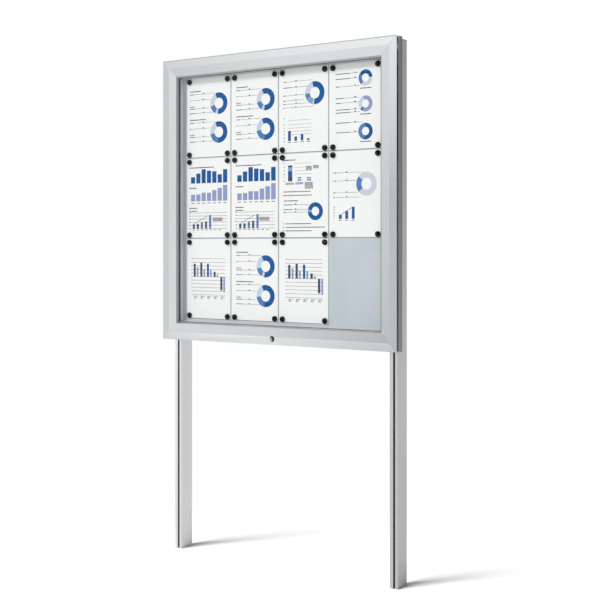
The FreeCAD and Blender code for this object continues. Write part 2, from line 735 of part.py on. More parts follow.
# An angle on the back of the door. Its stud points at the rod's eye and stops short of it,
# so the eye's pivot is open.
def strut_door_bracket():
    body = new_body("strut_door_bracket_left")
    cheek = new_sketch(body, lift="door_plate_inset")
    low = "strut_depth - collar_radius"
    polygon(cheek, [
        ("-foot_end", "door_back"), ("-foot_end", "door_back - plate_thickness"),
        ("-foot_start", low), ("collar_radius", low), ("collar_radius", "door_back")])
    pad(body, cheek, "plate_thickness")
    foot = new_sketch(body, lift="door_plate_inset")
    rectangle(foot, "-foot_end", "door_back - plate_thickness", "-foot_start", "door_back")
    pad(body, foot, "door_plate_end - door_plate_inset")
    stud = new_sketch(body, lift="door_plate_inset + plate_thickness")
    circle(stud, "0", "strut_depth", "stud_radius")
    pad(body, stud,
        "strut_inset - eye_width / 2 - stud_gap - door_plate_inset - plate_thickness")
    hole = new_sketch(body, "XZ_Plane", "-(door_back - plate_thickness)")
    flats(hole, "-(foot_start + foot_end) / 2", DOOR_RIVET_INSET, "screw_shank / 2 + screw_play")
    pocket(body, hole, "plate_thickness")
    at_left_side(body, "strut_door_drop")
    keep(body, "strut_door_bracket_left")
    mirrored_copy(body, "strut_door_bracket_right")
    places = [board_place(side, *hole) for side in ("left", "right")
              for hole in door_bracket_holes(side)]
    fasteners("door_bracket_rivets", places,
              ("screw_head / 2", "door_back - plate_thickness - screw_rise", "screw_rise"),
              ("screw_shank / 2", "door_back - plate_thickness",
               "plate_thickness + door_wall - screw_short"))


# A flat round eye on the strut's own axis, with a cross hole for its stud.
def eye(body):
    disc = new_sketch(body, "YZ_Plane")
    circle(disc, "0", "0", "eye_radius")
    pad(body, disc, "eye_width", both_ways=True)


def turn(body, corners):
    sketch = new_sketch(body, "XZ_Plane")
    polygon(sketch, corners)
    spun = body.newObject("PartDesign::Revolution", "Turned")
    spun.Profile = sketch
    spun.ReferenceAxis = (sketch, ["V_Axis"])
    spun.Angle = 360
    return spun


def cross_hole(body):
    sketch = new_sketch(body, "YZ_Plane")
    circle(sketch, "0", "0", "stud_radius + stud_play")
    pocket_through(body, sketch)


def strut_cylinder():
    body = new_body("strut_cylinder_left")
    top = "(tube_start + tube_length)"
    eye(body)
    turn(body, [
        ("0", "eye_radius - 1"), ("rod_radius", "eye_radius - 1"), ("rod_radius", "tube_start"),
        ("tube_radius", "tube_start"), ("tube_radius", top), ("rod_radius + rod_play", top),
        ("rod_radius + rod_play", "tube_start + tube_floor"), ("0", "tube_start + tube_floor")])
    cross_hole(body)
    place_strut(body, "strut_case_drop")
    keep(body, "strut_cylinder_left")
    mirrored_copy(body, "strut_cylinder_right")


# The rod is drawn downwards from its eye, at rest.
def strut_rod():
    body = new_body("strut_rod_left")
    low = "(rod_foot - strut_case_drop + strut_door_drop)"
    eye(body)
    turn(body, [("0", "-eye_radius + 1"), ("rod_radius", "-eye_radius + 1"),
                ("rod_radius", low), ("0", low)])
    cross_hole(body)
    place_strut(body, "strut_door_drop")
    keep(body, "strut_rod_left")
    mirrored_copy(body, "strut_rod_right")


def place_strut(body, drop):
    place(body, "-board_width / 2 + strut_inset", f"{BACK} - strut_depth",
          f"{TOP} - hinge_inset - {drop}", UPRIGHT)


# Lock

def lock_place(item):
    place(item, "0", BACK, "leg_height + lock_inset", ACROSS)


def lock_housing():
    body = new_body("lock_housing")
    for radius, start, length in (
            ("barrel_radius", "barrel_back", "door_front - barrel_back"),
            ("flange_radius", "door_front", "flange_rise")):
        sketch = new_sketch(body, lift=start)
        circle(sketch, "0", "0", radius)
        last = pad(body, sketch, length)
    doc.recompute()
    rim = body.newObject("PartDesign::Chamfer", "Rim")
    rim.Base = (last, [front_edge(last.Shape)])
    rim.setExpression("Size", bound("flange_chamfer"))
    bore = new_sketch(body)
    circle(bore, "0", "0", "plug_radius + plug_play")
    pocket_through(body, bore)
    lock_place(body)
    return keep(body, "lock_housing")


def front_edge(shape):
    numbers = range(1, len(shape.Edges) + 1)
    closed = [n for n in numbers if shape.Edges[n - 1].Closed]
    return f"Edge{max(closed, key=lambda n: shape.Edges[n - 1].BoundBox.ZMax)}"


def lock_nut():
    body = new_body("lock_nut")
    sketch = new_sketch(body, lift="door_back - lock_nut_depth")
    polygon(sketch, [
        (f"nut_radius * {math.cos(math.radians(60 * i)):.6f}",
         f"nut_radius * {math.sin(math.radians(60 * i)):.6f}") for i in range(6)])
    circle(sketch, "0", "0", "barrel_radius + thread_play")
    pad(body, sketch, "lock_nut_depth")
    lock_place(body)
    return keep(body, "lock_nut")


def lock_plug():
    body = new_body("lock_plug")
    face = "(door_front + flange_rise - plug_recess)"
    barrel = new_sketch(body, lift="plug_back")
    circle(barrel, "0", "0", "plug_radius")
    pad(body, barrel, f"{face} - plug_back")
    slot = new_sketch(body, lift=f"{face} - key_depth")
    rectangle(slot, "-key_width / 2", "-key_length / 2", "key_width / 2", "key_length / 2")
    pocket(body, slot, "key_depth", back=True)
    thread = new_sketch(body, lift="plug_back")
    flats(thread, "0", "0", "cam_screw_shank + thread_play")
    pocket(body, thread, "cam_screw_length", back=True)
    lock_place(body)
    return keep(body, "lock_plug")


# At rest the cam lies along the rail and the door is free to lift.
def lock_cam():
    body = new_body("lock_cam")
    blade = new_sketch(body, lift="plug_back - cam_thickness")
    rectangle(blade, "0", "-cam_radius", "cam_length", "cam_radius")
    pad(body, blade, "cam_thickness")
    hub = new_sketch(body, lift="plug_back - cam_thickness")
    circle(hub, "0", "0", "cam_radius")
    pad(body, hub, "cam_thickness")
    hole = new_sketch(body)
    flats(hole, "0", "0", "cam_screw_shank + thread_play")
    pocket_through(body, hole)
    lock_place(body)
    return keep(body, "lock_cam")


def cam_screw():
    body = new_body("cam_screw")
    seat = "(plug_back - cam_thickness)"
    for radius, start, length, sides in (
            ("cam_screw_head", f"{seat} - cam_screw_rise", "cam_screw_rise", HEAD_FLAT_COUNT),
            ("cam_screw_shank", seat, "cam_thickness + cam_screw_length - screw_short", SHANK_FLAT_COUNT)):
        sketch = new_sketch(body, lift=start)
        flats(sketch, "0", "0", radius, sides)
        pad(body, sketch, length)
    lock_place(body)
    return keep(body, "cam_screw")


# An angle on the bottom rail's outer wall. The cam turns in behind its lip.
def lock_keeper():
    body = new_body("lock_keeper")
    section = new_sketch(body)
    inner = "(case_wall + keeper_thickness)"
    polygon(section, [
        ("case_wall", "keeper_depth"), (inner, "keeper_depth"),
        (inner, "keeper_front - keeper_thickness"), ("keeper_reach", "keeper_front - keeper_thickness"),
        ("keeper_reach", "keeper_front"), ("case_wall", "keeper_front")])
    pad(body, section, "2 * keeper_half", both_ways=True)
    places = [("keeper_screw_depth", f"{sign}keeper_screw_offset") for sign in ("-", "")]
    drill_side(body, places, "screw_shank / 2 + screw_play", inner)
    inward, _, (x, z) = MEMBERS["bottom"]
    forward = Vector(0, -1, 0)
    place(body, x, BACK, z, Rotation(inward, forward, inward.cross(forward), "XYZ"))
    keep(body, "lock_keeper")
    wall_rivets("keeper_rivets", "bottom", places, inner)


# Sheets and magnets

def sheet_middle(row, column):
    across = f"{column - (COLUMNS + 1) / 2} * (sheet_width + sheet_gap) + sheets_right"
    up = f"{(ROWS + 1) / 2 - row} * (sheet_height + sheet_gap) + sheets_up"
    return across, up


def filled_places():
    return [(row, column) for row, count in enumerate(SHEETS_PER_ROW, 1)
            for column in range(1, count + 1)]


def paper_sheet(row, column):
    x, y = sheet_middle(row, column)
    label = f"sheet_row{row}_col{column}"
    sheet = doc.addObject("Part::Box", label)
    sheet.setExpression("Length", bound("sheet_width"))
    sheet.setExpression("Width", bound("sheet_height"))
    sheet.setExpression("Height", bound("paper"))
    place(sheet, f"{x} - sheet_width / 2", f"{BACK} - panel_depth",
          f"{MIDDLE} + {y} - sheet_height / 2", ACROSS)
    return keep(sheet, label)


def magnets():
    discs = []
    for x, y in (sheet_middle(*spot) for spot in filled_places()):
        for left_right in "-+":
            for low_high in "-+":
                disc = doc.addObject("Part::Prism", "Magnet")
                disc.Polygon = MAGNET_FLAT_COUNT
                disc.setExpression("Circumradius", bound("magnet_radius"))
                disc.setExpression("Height", bound("magnet_height"))
                place(disc, f"{x} {left_right} (sheet_width / 2 - magnet_side)",
                      f"{BACK} - panel_depth - paper",
                      f"{MIDDLE} + {y} {low_high} (sheet_height / 2 - magnet_top)", ACROSS)
                discs.append(disc)
    group = doc.addObject("Part::Compound", "magnets")
    group.Links = discs
    return keep(group, "magnets")


def build():
    for label, x in (("left", f"-{POST_MIDDLE}"), ("right", POST_MIDDLE)):
        post(f"post_{label}", x)
        post_cap(f"post_cap_{label}", x)
    for side in MEMBERS:
        case_member(side)
        door_member(side)
    case_cleats()
    display_panel()
    panel_rivets()
    post_bolts()
    weather_seal()
    door_cleats()
    glass_pane()
    glazing_gasket()
    glazing_beads()
    hinge()
    strut_case_bracket()
    strut_door_bracket()
    strut_cylinder()
    strut_rod()
    lock_housing()
    lock_nut()
    lock_plug()
    lock_cam()
    cam_screw()
    lock_keeper()
    for spot in filled_places():
        paper_sheet(*spot)
    magnets()


def check_objects():
    doc.recompute()
    for item in doc.Objects:
        if "Invalid" in item.State or "Error" in item.State:
            raise RuntimeError(f"{item.Label} failed: {item.State}")
    for item in parts:
        if item.Shape.isNull() or not item.Shape.isValid():
            raise RuntimeError(f"{item.Label} has no valid shape")


def export():
    os.makedirs("parts", exist_ok=True)
    for item in parts:
        item.Shape.exportStep(f"parts/{item.Label}.step")
        print(item.Label, len(item.Shape.Solids), round(item.Shape.Volume / 1000, 2), "cm3")


build()
check_objects()
export()
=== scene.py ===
# An outdoor lockable notice board: two silver aluminium posts, a shallow grey case and a
# glazed door hinged along its top, with printed sheets held by round magnets inside.
import json
import math

import bmesh
import bpy
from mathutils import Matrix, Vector


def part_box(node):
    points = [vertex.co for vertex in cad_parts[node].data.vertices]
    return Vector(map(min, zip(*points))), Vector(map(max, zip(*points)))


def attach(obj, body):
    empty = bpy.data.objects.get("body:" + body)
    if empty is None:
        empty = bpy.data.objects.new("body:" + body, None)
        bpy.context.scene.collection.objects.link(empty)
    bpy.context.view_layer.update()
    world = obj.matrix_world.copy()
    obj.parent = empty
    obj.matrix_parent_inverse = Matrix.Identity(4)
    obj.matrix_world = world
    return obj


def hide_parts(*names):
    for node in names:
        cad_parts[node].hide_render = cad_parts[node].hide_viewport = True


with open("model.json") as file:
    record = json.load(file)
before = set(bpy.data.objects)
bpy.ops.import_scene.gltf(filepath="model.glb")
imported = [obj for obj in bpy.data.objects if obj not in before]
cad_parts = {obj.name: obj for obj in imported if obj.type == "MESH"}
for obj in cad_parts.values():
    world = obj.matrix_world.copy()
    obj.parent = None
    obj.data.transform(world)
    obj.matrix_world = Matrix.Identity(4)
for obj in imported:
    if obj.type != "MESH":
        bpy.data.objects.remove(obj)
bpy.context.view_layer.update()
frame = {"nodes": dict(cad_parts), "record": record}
nodes = frame["nodes"]
bodies = frame["record"]["behaviour"]["bodies"]
body_of = {name: body for body, names in bodies.items() for name in names}


# Posts
# Two extruded aluminium posts with a T-slot down the front, anodised silver. The die leaves
# fine lines along the metal, and their edges are just off sharp. As painted light and shade,
# the left post is a paler silver than the right, and the inside of the slot is painted darker.
def node(tree, kind, sockets=None, **settings):
    item = tree.nodes.new(kind)
    for name, setting in settings.items():
        setattr(item, name, setting)
    for name, source in (sockets or {}).items():
        if isinstance(source, bpy.types.NodeSocket):
            tree.links.new(source, item.inputs[name])
        else:
            item.inputs[name].default_value = source
    return item


def maths(tree, operation, first, second=0.0):
    item = node(tree, "ShaderNodeMath", {0: first, 1: second}, operation=operation)
    return item.outputs[0]


def shader_group(name, inputs, outputs):
    tree = bpy.data.node_groups.new(name, "ShaderNodeTree")
    for label, kind, start in inputs:
        socket = tree.interface.new_socket(label, in_out="INPUT", socket_type=kind)
        socket.default_value = start
    for label, kind in outputs:
        tree.interface.new_socket(label, in_out="OUTPUT", socket_type=kind)
    return tree, node(tree, "NodeGroupInput").outputs, node(tree, "NodeGroupOutput").inputs


def new_material(name):
    material = bpy.data.materials.new(name)
    material.use_nodes = True
    return material, material.node_tree, material.node_tree.nodes["Principled BSDF"]


# Lines along the metal, and cloudy patches in its colour and its sheen.
drawn, given, made = shader_group(
    "Drawn skin",
    [("Metal", "NodeSocketColor", (0.6, 0.6, 0.6, 1)),
     ("Grain", "NodeSocketVector", (300, 300, 2)),
     ("Lines", "NodeSocketFloat", 0.05),
     ("Clouds", "NodeSocketFloat", 0.06),
     ("Roughness", "NodeSocketFloat", 0.4)],
    [("Colour", "NodeSocketColor"),
     ("Roughness", "NodeSocketFloat"),
     ("Height", "NodeSocketFloat")])
place = node(drawn, "ShaderNodeTexCoord").outputs["Object"]
stretched = node(drawn, "ShaderNodeVectorMath", {0: place, 1: given["Grain"]},
                 operation="MULTIPLY")
lines = node(drawn, "ShaderNodeTexNoise",
             {"Vector": stretched.outputs[0], "Scale": 1.0, "Detail": 3.0,
              "Roughness": 0.6}).outputs["Fac"]
clouds = node(drawn, "ShaderNodeTexNoise",
              {"Vector": place, "Scale": 7.0, "Detail": 4.0, "Roughness": 0.55}).outputs["Fac"]
lined = maths(drawn, "MULTIPLY", maths(drawn, "SUBTRACT", lines, 0.5), given["Lines"])
cloudy = maths(drawn, "MULTIPLY", maths(drawn, "SUBTRACT", clouds, 0.5), given["Clouds"])
shade = maths(drawn, "ADD", lined, cloudy)
tint = node(drawn, "ShaderNodeHueSaturation",
            {"Value": maths(drawn, "ADD", shade, 1.0), "Color": given["Metal"]})
dulled = maths(drawn, "ADD", given["Roughness"], maths(drawn, "MULTIPLY", shade, 1.5))
drawn.links.new(tint.outputs[0], made["Colour"])
drawn.links.new(dulled, made["Roughness"])
drawn.links.new(lines, made["Height"])

# How finely the noise repeats along x, y and z: long lines one way, or an even grain.
ALONG_X = (2.0, 420.0, 420.0)
ALONG_Z = (420.0, 420.0, 2.0)
NO_LINES = (260.0, 260.0, 260.0)


def metal(name, colour, grain, roughness, lines=0.10, clouds=0.06, depth=0.00002, metallic=1.0):
    material, tree, shader = new_material(name)
    skin = node(tree, "ShaderNodeGroup", node_tree=drawn)
    for label, setting in (("Metal", (*colour, 1)), ("Grain", grain), ("Lines", lines),
                           ("Clouds", clouds), ("Roughness", roughness)):
        skin.inputs[label].default_value = setting
    bump = node(tree, "ShaderNodeBump",
                {"Strength": 0.5, "Distance": depth, "Height": skin.outputs["Height"]})
    tree.links.new(skin.outputs["Colour"], shader.inputs["Base Color"])
    tree.links.new(skin.outputs["Roughness"], shader.inputs["Roughness"])
    tree.links.new(bump.outputs[0], shader.inputs["Normal"])
    shader.inputs["Metallic"].default_value = metallic
    return material


# Points closer than this are one point, faces that meet at less than this are one face, and
# an edge is eased from this many degrees.
SAME_POINT = 1e-6
SAME_PLANE = math.radians(0.5)
EDGE_FROM = 25


# A CAD piece's own shape with its edges eased, as a new piece that stands for it. Faces that
# meet at less than smooth degrees are shaded as one.
def eased(name, material, edge=0.0003, smooth=5, segments=2):
    mesh = nodes[name].data.copy()
    work = bmesh.new()
    work.from_mesh(mesh)
    bmesh.ops.remove_doubles(work, verts=work.verts, dist=SAME_POINT)
    bmesh.ops.dissolve_limit(work, angle_limit=SAME_PLANE, verts=work.verts, edges=work.edges)
    work.to_mesh(mesh)
    work.free()
    piece = bpy.data.objects.new(f"{name}_finished", mesh)
    bpy.context.collection.objects.link(piece)
    mesh.materials.clear()
    mesh.materials.append(material)
    bevel = piece.modifiers.new("Eased edges", "BEVEL")
    bevel.width = edge
    bevel.segments = segments
    bevel.limit_method = "ANGLE"
    bevel.angle_limit = math.radians(max(smooth, EDGE_FROM))
    settle(piece)
    piece.data.shade_smooth()
    piece.data.set_sharp_from_angle(angle=math.radians(smooth))
    return stands_for(piece, name)


def settle(piece):
    bpy.context.view_layer.update()
    seen = piece.evaluated_get(bpy.context.evaluated_depsgraph_get())
    mesh = bpy.data.meshes.new_from_object(seen)
    piece.modifiers.clear()
    piece.data = mesh


def stands_for(piece, name):
    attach(piece, body_of[name])
    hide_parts(name)
    return piece


# The slot's place in a post: aside of its middle, and behind its front face.
SLOT_HALF_WIDTH = 0.012
SLOT_FROM, SLOT_TO = 0.0005, 0.016
silver = {}
# Painted shade: the inside of the slot is a darker grey than the post.
slot_shade = metal("silver anodised, inside the slot", (0.33, 0.335, 0.34), ALONG_Z, 0.5)
# Painted light and shade: one silver in two tones, the left post paler than the right.
for side, tone in (("left", 0.96), ("right", 0.72)):
    silver[side] = metal(f"silver anodised, {side} post", (tone, tone * 1.005, tone * 1.02),
                         ALONG_Z, 0.38)
    mesh = eased(f"post_{side}", silver[side], edge=0.0002).data
    mesh.materials.append(slot_shade)
    low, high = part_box(f"post_{side}")
    middle = (low.x + high.x) / 2
    for face in mesh.polygons:
        behind = face.center.y - low.y
        if abs(face.center.x - middle) < SLOT_HALF_WIDTH and SLOT_FROM < behind < SLOT_TO:
            face.material_index = 1

# Post caps
# Thin moulded plugs of grey plastic pressed into the open tops of the posts, with a fine
# moulded texture.
speckled, given, made = shader_group(
    "Moulded speckle",
    [("Plastic", "NodeSocketColor", (0.2, 0.2, 0.2, 1)), ("Fineness", "NodeSocketFloat", 900.0)],
    [("Colour", "NodeSocketColor"), ("Height", "NodeSocketFloat")])
place = node(speckled, "ShaderNodeTexCoord").outputs["Object"]
grit = node(speckled, "ShaderNodeTexNoise",
            {"Vector": place, "Scale": given["Fineness"], "Detail": 2.0}).outputs["Fac"]
haze = node(speckled, "ShaderNodeTexNoise",
            {"Vector": place, "Scale": 12.0, "Detail": 3.0}).outputs["Fac"]
gritty = maths(speckled, "MULTIPLY", grit, 0.12)
hazy = maths(speckled, "MULTIPLY", haze, 0.16)
light = maths(speckled, "ADD", maths(speckled, "ADD", gritty, hazy), 0.86)
tint = node(speckled, "ShaderNodeHueSaturation", {"Value": light, "Color": given["Plastic"]})
speckled.links.new(tint.outputs[0], made["Colour"])
speckled.links.new(grit, made["Height"])


def moulded(name, colour, roughness, fineness=900.0, depth=0.00003, specular=0.5):
    material, tree, shader = new_material(name)
    skin = node(tree, "ShaderNodeGroup", node_tree=speckled)
    skin.inputs["Plastic"].default_value = (*colour, 1)
    skin.inputs["Fineness"].default_value = fineness
    bump = node(tree, "ShaderNodeBump",
                {"Strength": 0.6, "Distance": depth, "Height": skin.outputs["Height"]})
    tree.links.new(skin.outputs["Colour"], shader.inputs["Base Color"])
    tree.links.new(bump.outputs[0], shader.inputs["Normal"])
    shader.inputs["Roughness"].default_value = roughness
    shader.inputs["Specular IOR Level"].default_value = specular
    return material


cap_plastic = moulded("grey moulded plastic", (0.16, 0.165, 0.17), 0.55)
for side in ("left", "right"):
    eased(f"post_cap_{side}", cap_plastic, edge=0.0006, segments=3)

# Case members
# Four mitred lengths of one extrusion, anodised grey, with cast cleats in the corners. Their
# grey, darker than the door's, is partly painted shade along the case's sides. The walls inside
# and the faces that look forward are a paler grey that does not shine as metal, as painted light
# in the groove and the recess.
CASE_WALL = 0.002
# A darker grey than the door's, partly painted shade along the case's sides.
CASE_GREY = (0.35, 0.355, 0.36)
# A face looks straight along a direction when its normal leans that way by more than this.
SQUARE_ON = 0.7
case_level = metal("grey anodised, drawn level", CASE_GREY, ALONG_X, 0.45)
case_upright = metal("grey anodised, drawn upright", CASE_GREY, ALONG_Z, 0.45)
# Painted light: a paler grey for the walls in the groove and the recess.
pale_wall_painted_light = metal("pale inner wall", (0.60, 0.615, 0.62), NO_LINES, 0.5, metallic=0.0)
for name, material, axis, outward in (
        ("case_top_rail", case_level, 2, 1),
        ("case_bottom_rail", case_level, 2, -1),
        ("case_left_stile", case_upright, 0, -1),
        ("case_right_stile", case_upright, 0, 1)):
    low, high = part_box(name)
    outer = (high if outward > 0 else low)[axis]
    mesh = eased(name, material).data
    mesh.materials.append(pale_wall_painted_light)
    for face in mesh.polygons:
        sideways = abs(face.normal[axis]) > SQUARE_ON
        inside = sideways and abs(face.center[axis] - outer) > CASE_WALL
        if inside or face.normal.y < -SQUARE_ON:
            face.material_index = 1
cast_metal = metal("cast aluminium", (0.45, 0.45, 0.46), NO_LINES, 0.6, lines=0.3)


def dress(name, material):
    materials = nodes[name].data.materials
    materials.clear()
    materials.append(material)


dress("case_corner_cleats", cast_metal)
dress("door_corner_cleats", cast_metal)

# Display panel
# Steel sheet, so that magnets hold on it anywhere, riveted into the case from behind. It has
# a pale bluish grey powder coat with a fine orange peel.
coat = moulded("pale powder coat", (0.46, 0.505, 0.55), 0.45, 420.0, 0.00004)
dress("display_panel", coat)


# Rivets and bolts
# Turned heads with a rounded crown, of aluminium or plated steel: one profile, revolved and
# set down at each place. The places are the middles of the CAD solids.
HEAD_SIZES = (
    ("Radius", "NodeSocketFloat", 0.004), ("Height", "NodeSocketFloat", 0.001),
    ("Squareness", "NodeSocketFloat", 2.0), ("Facing", "NodeSocketVector", (0, -1, 0)),
    ("Segments", "NodeSocketInt", 32), ("Rings", "NodeSocketInt", 8))


def head_tree():
    tree = bpy.data.node_groups.new("Turned heads", "GeometryNodeTree")
    face = tree.interface
    face.new_socket("Places", in_out="INPUT", socket_type="NodeSocketGeometry")
    for label, kind, start in HEAD_SIZES:
        face.new_socket(label, in_out="INPUT", socket_type=kind).default_value = start
    face.new_socket("Finish", in_out="INPUT", socket_type="NodeSocketMaterial")
    face.new_socket("Heads", in_out="OUTPUT", socket_type="NodeSocketGeometry")
    given = node(tree, "NodeGroupInput").outputs
    made = node(tree, "NodeGroupOutput").inputs

    def calc(operation, first, second=0.0):
        return maths(tree, operation, first, second)

    grid = node(tree, "GeometryNodeMeshGrid",
                {"Size X": 1.0, "Size Y": 1.0,
                 "Vertices X": given["Segments"], "Vertices Y": given["Rings"]})
    position = node(tree, "GeometryNodeInputPosition").outputs[0]
    spot = node(tree, "ShaderNodeSeparateXYZ", {0: position}).outputs
    turn = calc("MULTIPLY", calc("ADD", spot[0], 0.5), math.tau)
    step = calc("SUBTRACT", given["Rings"], 1.0)
    ring = calc("MULTIPLY", calc("ADD", spot[1], 0.5), step)
    share = calc("DIVIDE", calc("SUBTRACT", ring, 1.0), calc("SUBTRACT", step, 1.0))
    climb = calc("MAXIMUM", share, 0.0)
    swing = calc("MULTIPLY", climb, math.pi / 2)
    power = calc("DIVIDE", 2.0, given["Squareness"])
    rise = calc("POWER", calc("MAXIMUM", calc("SINE", swing), 0.0), power)
    reach = calc("POWER", calc("MAXIMUM", calc("COSINE", swing), 0.0), power)
    reach = calc("MULTIPLY", reach, calc("GREATER_THAN", ring, 0.5))
    radius = calc("MULTIPLY", reach, given["Radius"])
    point = node(tree, "ShaderNodeCombineXYZ",
                 {0: calc("MULTIPLY", radius, calc("COSINE", turn)),
                  1: calc("MULTIPLY", radius, calc("SINE", turn)),
                  2: calc("MULTIPLY", rise, given["Height"])})
    shaped = node(tree, "GeometryNodeSetPosition",
                  {"Geometry": grid.outputs["Mesh"], "Position": point.outputs[0]})
    closed = node(tree, "GeometryNodeMergeByDistance",
                  {"Geometry": shaped.outputs[0], "Distance": 2 * SAME_POINT})
    smooth = node(tree, "GeometryNodeSetShadeSmooth",
                  {"Geometry": closed.outputs[0], "Shade Smooth": True})
    aim = node(tree, "FunctionNodeAlignRotationToVector", {"Vector": given["Facing"]}, axis="Z")
    copies = node(tree, "GeometryNodeInstanceOnPoints",
                  {"Points": given["Places"], "Instance": smooth.outputs[0],
                   "Rotation": aim.outputs[0]})
    solid = node(tree, "GeometryNodeRealizeInstances", {0: copies.outputs[0]})
    painted = node(tree, "GeometryNodeSetMaterial",
                   {"Geometry": solid.outputs[0], "Material": given["Finish"]})
    tree.links.new(painted.outputs[0], made["Heads"])
    return tree


turned_heads = head_tree()


# The middle of each separate solid of a CAD node, moved to its seat along one axis, such as
# the plane of the wall that the heads stand on.
def places_of(name, axis, seat):
    work = bmesh.new()
    work.from_mesh(nodes[name].data)
    bmesh.ops.remove_doubles(work, verts=work.verts, dist=SAME_POINT)
    left = set(work.verts)
    middles = []
    while left:
        island = [left.pop()]
        reached = [island[0].co.copy()]
        while island:
            for edge in island.pop().link_edges:
                for vert in edge.verts:
                    if vert in left:
                        left.remove(vert)
                        island.append(vert)
                        reached.append(vert.co.copy())
        middle = Vector([(min(p[i] for p in reached) + max(p[i] for p in reached)) / 2
                         for i in range(3)])
        middle[axis] = seat
        middles.append(middle)
    work.free()
    return sorted(middles, key=tuple)


FRONT, REAR = (0, -1, 0), (0, 1, 0)
UP, DOWN = (0, 0, 1), (0, 0, -1)
RIGHT, LEFT = (1, 0, 0), (-1, 0, 0)


def heads(name, seat, facing, radius, height, squareness, material, segments=33, rings=9):
    axis = next(i for i in range(3) if facing[i])
    mesh = bpy.data.meshes.new(f"{name} places")
    mesh.from_pydata([tuple(p) for p in places_of(name, axis, seat)], [], [])
    piece = bpy.data.objects.new(f"{name}_turned", mesh)
    bpy.context.collection.objects.link(piece)
    modifier = piece.modifiers.new("Heads", "NODES")
    modifier.node_group = turned_heads
    sizes = {"Radius": radius, "Height": height, "Squareness": squareness, "Facing": facing,
             "Segments": segments, "Rings": rings, "Finish": material}
    for item in turned_heads.interface.items_tree:
        if item.in_out == "INPUT" and item.name in sizes:
            modifier[item.identifier] = sizes[item.name]
    settle(piece)
    return stands_for(piece, name)


DOMED, FLAT_TOPPED = 2.2, 5.0
rivet_metal = metal("plain rivet aluminium", (0.55, 0.555, 0.56), NO_LINES, 0.38)
plated_steel = metal("zinc plated steel", (0.48, 0.485, 0.50), NO_LINES, 0.36, clouds=0.14)


# The small rivets of the hinge, the struts and the keeper.
def small_rivets(name, seat, facing):
    heads(name, seat, facing, radius=0.0035, height=0.0015, squareness=DOMED,
          material=rivet_metal, segments=25, rings=7)


panel_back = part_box("display_panel")[1].y
heads("panel_rivets", panel_back, REAR, radius=0.004, height=0.0012, squareness=DOMED,
      material=rivet_metal)
heads("post_bolts", panel_back - CASE_WALL, FRONT, radius=0.006, height=0.0035,
      squareness=FLAT_TOPPED, material=plated_steel)
dress("slot_nuts", plated_steel)

# Seal and gasket
# Rubber extrusions: a grey seal on the case's rib that the door closes on, and the black
# channel that holds the glass.
channel_rubber = moulded("black extruded rubber", (0.07, 0.07, 0.073), 0.6, 300.0)
seal_rubber = moulded("grey extruded rubber", (0.16, 0.16, 0.165), 0.6, 300.0)
dress("weather_seal", seal_rubber)
dress("glazing_gasket", channel_rubber)


# Sheets
# White A4 paper printed with plain charts, and with rows of short strokes where a page has
# words. Ink stands a hair proud of the paper and carries its colour in an attribute. A dark
# strip along the lower and right edge stands for the shadow that a sheet throws.
DEEP = (0.004, 0.080, 0.27)
STEEL = (0.035, 0.055, 0.12)
MIDDLE = (0.075, 0.18, 0.40)
SKY = (0.18, 0.32, 0.57)
LAVENDER = (0.25, 0.29, 0.50)
MIST = (0.46, 0.59, 0.71)
PALE = (0.54, 0.56, 0.65)
BLACK = (0.015, 0.015, 0.018)
GREY = (0.03, 0.03, 0.034)
HAIR = (0.17, 0.172, 0.18)
EDGE = (0.17, 0.17, 0.18)
PAPER = (0.81, 0.81, 0.815)
MM = 0.001
SHEET_WIDE, SHEET_HIGH = 210, 297
STRIP_LOW, STRIP_RIGHT = 2.2, 2
INK = 0.03 * MM
LINE_INK = 1.6 * INK


def printed_paper():
    material, tree, shader = new_material("printed white paper")
    ink = node(tree, "ShaderNodeAttribute", attribute_name="ink")
    place = node(tree, "ShaderNodeTexCoord").outputs["Object"]
    fibre = node(tree, "ShaderNodeTexNoise", {"Vector": place, "Scale": 1400.0, "Detail": 3.0})
    cloud = node(tree, "ShaderNodeTexNoise", {"Vector": place, "Scale": 9.0, "Detail": 2.0})
    value = maths(tree, "ADD", maths(tree, "MULTIPLY", cloud.outputs["Fac"], 0.03), 0.985)
    tint = node(tree, "ShaderNodeHueSaturation", {"Value": value, "Color": ink.outputs["Color"]})
    bump = node(tree, "ShaderNodeBump",
                {"Strength": 0.25, "Distance": 0.00002, "Height": fibre.outputs["Fac"]})
    tree.links.new(tint.outputs[0], shader.inputs["Base Color"])
    tree.links.new(bump.outputs[0], shader.inputs["Normal"])
    shader.inputs["Roughness"].default_value = 0.72
    shader.inputs["Specular IOR Level"].default_value = 0.05
    return material


# A page is a list of (ink, outline), in millimetres from its lower left corner.
def block(page, ink, left, low, width, height):
    if height < 0:
        low, height = low + height, -height
    right, high = left + width, low + height
    page.append((ink, [(left, low), (right, low), (right, high), (left, high)]))


def stroke(page, ink, x, y, to_x, to_y, thickness):
    half = thickness / 2
    page.append((ink, [(x, y - half), (to_x, to_y - half), (to_x, to_y + half), (x, y + half)]))


def words(page, x, y, length, height=2.8, ink=GREY):
    along, turn = 0.0, round(length) + round(y)
    while along < length - 1:
        turn = (turn * 7 + 3) % 11
        word = min(3.5 + turn * 0.8, length - along)
        block(page, ink, x + along, y - height / 2, word, height)
        along += word + 1.2


def rule(page, x, y, to_x, ink=HAIR, thickness=1.1):
    stroke(page, ink, x, y, to_x, y, thickness)


# A label, a figure above its line, and the line that leads to a chart.
def callout(page, x, y, label, reach, figure=78):
    words(page, x, y, label)
    rule(page, x + label + 2, y, reach, GREY)
    words(page, figure, y + 2.4, 6, 3.2, BLACK)


